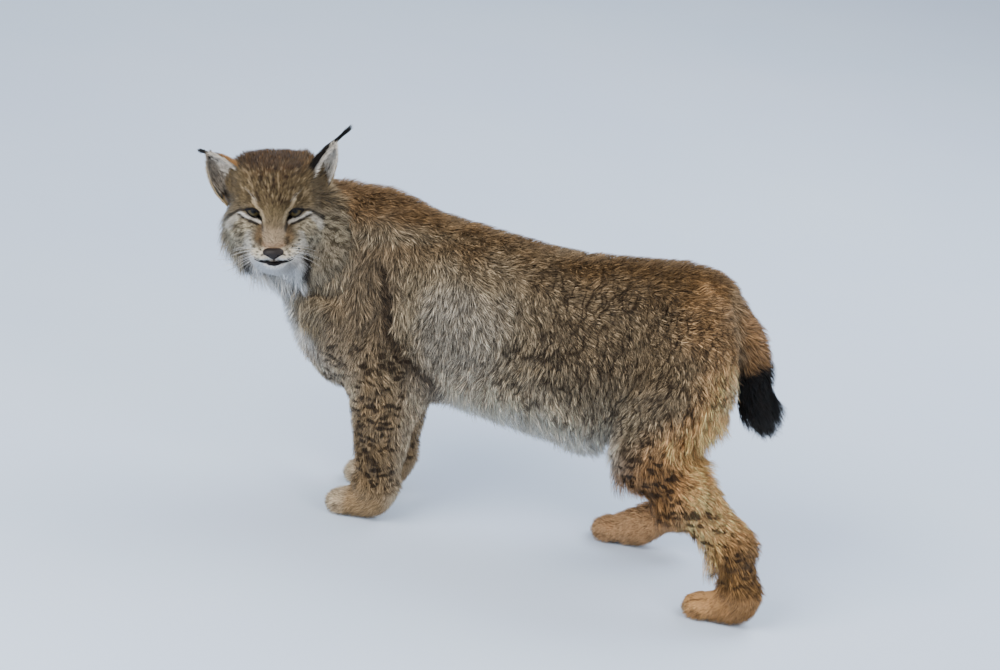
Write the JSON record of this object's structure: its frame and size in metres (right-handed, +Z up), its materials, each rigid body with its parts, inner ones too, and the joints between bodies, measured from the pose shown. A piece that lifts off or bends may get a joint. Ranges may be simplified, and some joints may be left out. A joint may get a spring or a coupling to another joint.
{
  "type": "eurasian lynx",
  "caption": "Standing wild cat with a thick winter coat, tufted ears, cheek ruff, spotted legs and a short black-tipped tail, its head turned to one side.",
  "frame": {"origin": "middle of the bounding box, on the floor that the paws stand on", "axes": "+Z up, -X towards the shoulders and +X towards the tail, -Y the animal's left side, to which the head is turned"},
  "size_m": [1.122, 0.3844, 0.6959],
  "materials": {
    "coat": "dense fur, rufous grey-brown above and pale below, matt",
    "dark_coat": "black fur, matt",
    "ear_coat": "short fur, dark at the edge and pale inside, matt",
    "nose": "bare moist skin, brown, satin",
    "eye": "moist eyeball with a brown-gold iris, clear and glossy"
  },
  "bodies": {
    "root": {"torso": "coat", "neck": "coat", "foreleg_left": "coat", "foreleg_right": "coat", "hindleg_left": "coat", "hindleg_right": "coat", "paw_left_fore": "coat", "paw_right_fore": "coat", "paw_left_hind": "coat", "paw_right_hind": "coat", "tail": "coat", "tail_tip": "dark_coat", "head": "coat", "eye_right": "eye", "eye_left": "eye", "nose": "nose", "ear_right": "ear_coat", "ear_left": "ear_coat"}
  },
  "joints": []
}
